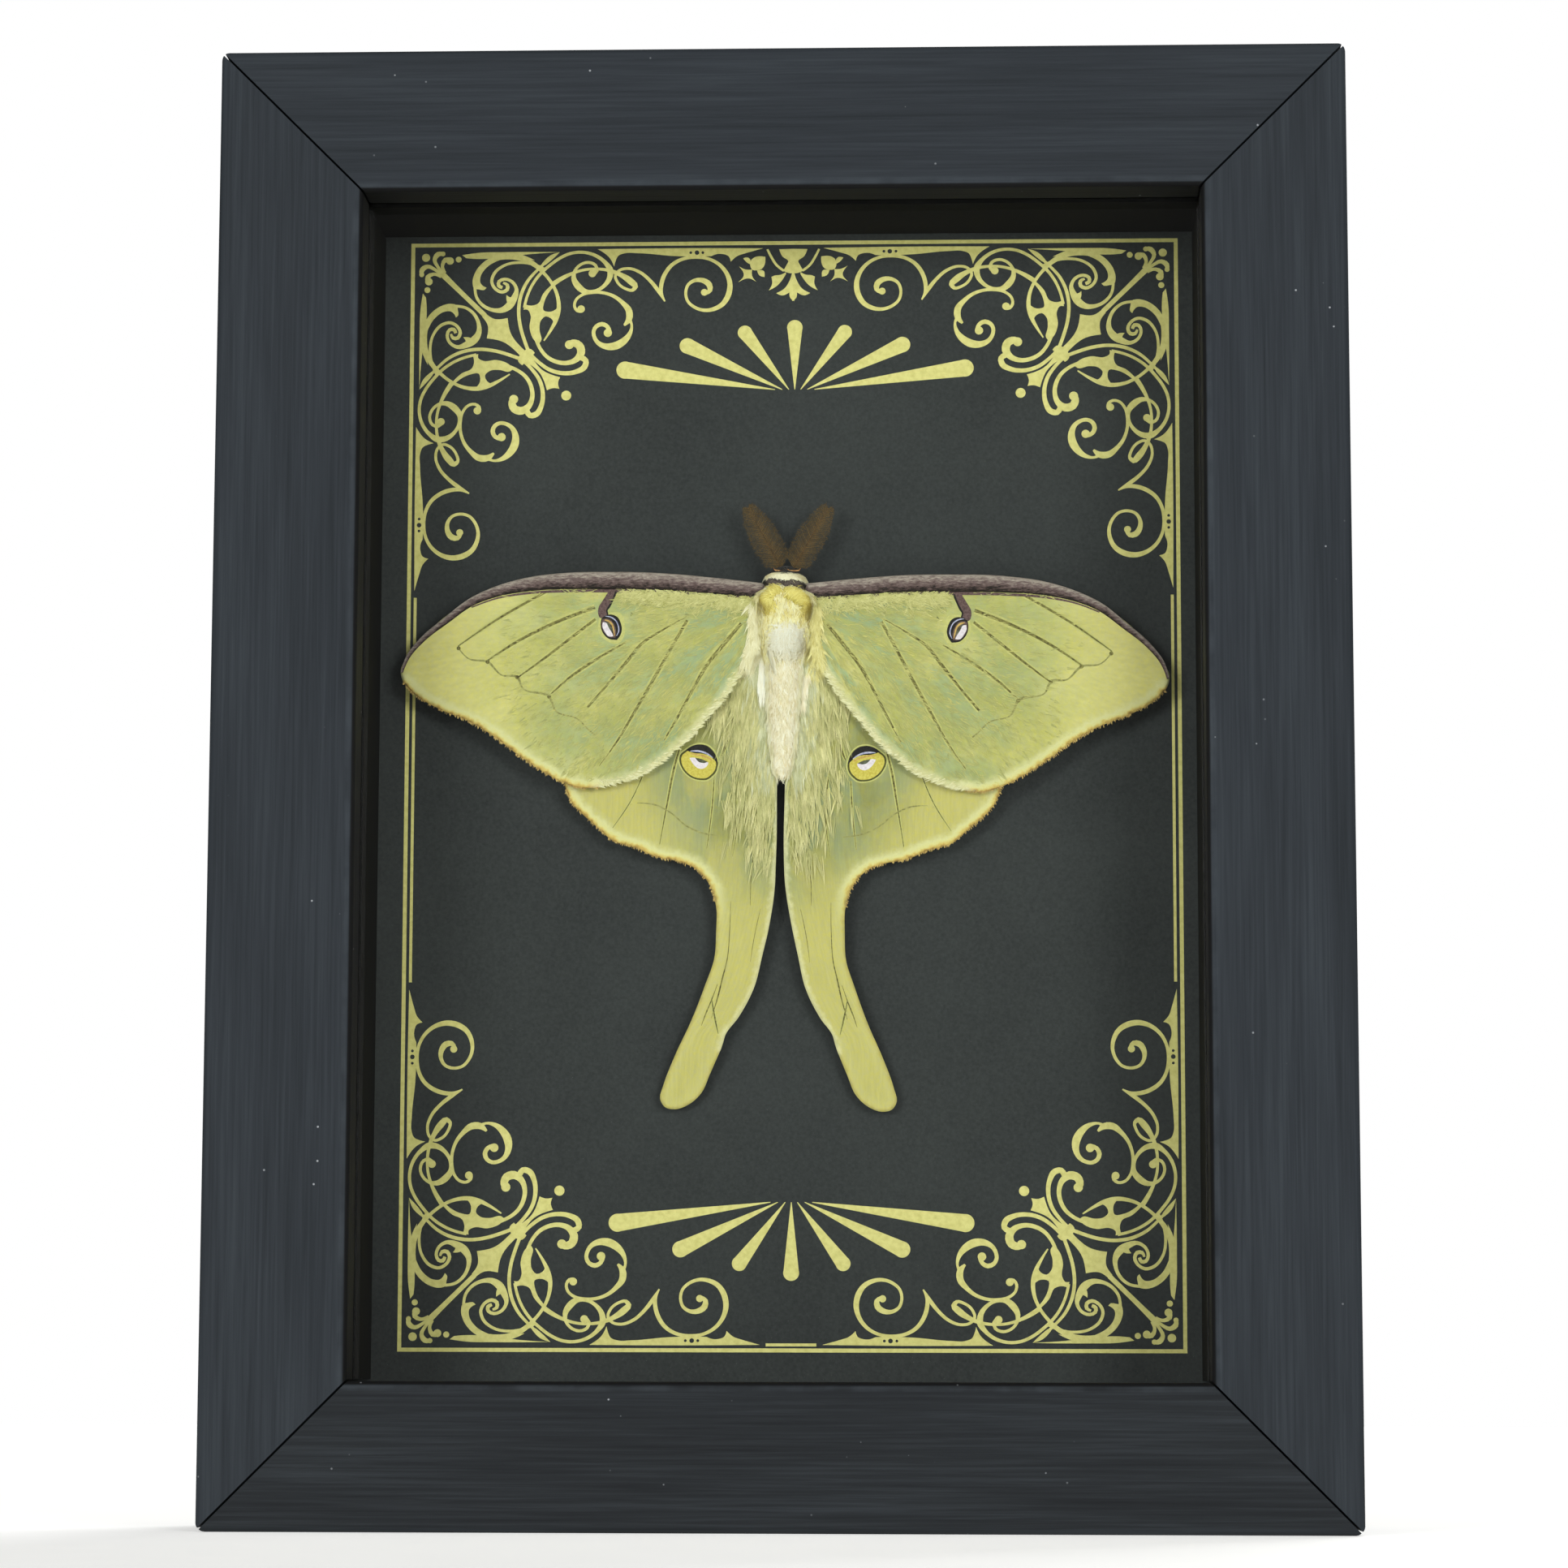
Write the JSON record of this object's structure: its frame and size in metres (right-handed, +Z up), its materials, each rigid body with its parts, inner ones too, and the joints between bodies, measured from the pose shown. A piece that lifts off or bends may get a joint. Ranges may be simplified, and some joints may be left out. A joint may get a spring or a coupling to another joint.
{
  "type": "framed moth specimen",
  "caption": "Upright wooden shadow-box frame with mitred rails and a glass front, holding a long-tailed moth with spread wings over a black card printed with gold scrollwork.",
  "frame": {"origin": "middle of the bottom of the bounding box, under the bottom rail", "axes": "+Z up, +X to the viewer's right, the glass front looks along -Y and the back board along +Y"},
  "size_m": [0.157, 0.036, 0.205],
  "materials": {
    "black_wood": "black stained wood with fine grain, satin lacquer",
    "glass": "clear polished float glass",
    "black_paint": "matt black painted strip",
    "card": "black finely pebbled card with a flat gold print",
    "fibreboard": "brown hardboard",
    "zinc_steel": "zinc-plated pressed steel",
    "wing": "pale green scaled wing membrane, matt",
    "fur": "cream-white fur",
    "antenna": "brown feathered antenna"
  },
  "bodies": {
    "root": {"rail_top": "black_wood", "rail_bottom": "black_wood", "rail_left": "black_wood", "rail_right": "black_wood", "glass_pane": "glass", "spacer_top": "black_paint", "spacer_bottom": "black_paint", "spacer_left": "black_paint", "spacer_right": "black_paint", "printed_card": "card", "backing_board": "fibreboard", "tab_top": "zinc_steel", "tab_bottom": "zinc_steel", "tab_left_upper": "zinc_steel", "tab_left_lower": "zinc_steel", "tab_right_upper": "zinc_steel", "tab_right_lower": "zinc_steel", "hanging_plate": "zinc_steel", "forewing_left": "wing", "forewing_right": "wing", "hindwing_left": "wing", "hindwing_right": "wing", "antenna_left": "antenna", "antenna_right": "antenna", "moth_body": "fur"}
  },
  "joints": []
}
